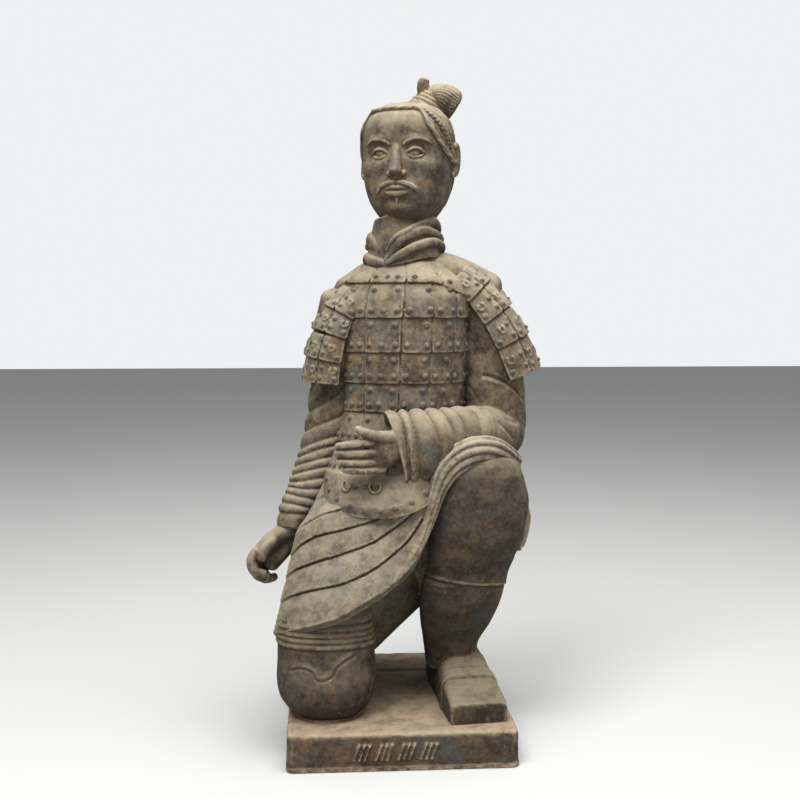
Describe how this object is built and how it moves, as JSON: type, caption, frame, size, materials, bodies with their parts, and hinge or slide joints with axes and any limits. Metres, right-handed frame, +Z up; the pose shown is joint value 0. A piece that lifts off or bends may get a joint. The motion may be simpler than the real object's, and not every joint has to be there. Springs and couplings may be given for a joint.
{
  "type": "kneeling warrior statue",
  "caption": "Kneeling armoured warrior figure in fired clay with topknot, scarf, plate coat and pleated robe, on a low rectangular plinth.",
  "frame": {"origin": "centre of the plinth's flat underside", "axes": "+Z up, the statue's front (the kneeling knee and the toe of the forward shoe) faces -Y, +X towards the side of the raised knee"},
  "size_m": [0.5283, 0.45, 1.199],
  "materials": {
    "fired_clay": "matte, weathered, with clay dust in the recesses",
    "plinth_clay": "matte, rough and chipped"
  },
  "bodies": {
    "root": {"kneeling_figure": "fired_clay", "plinth": "plinth_clay"}
  },
  "joints": []
}
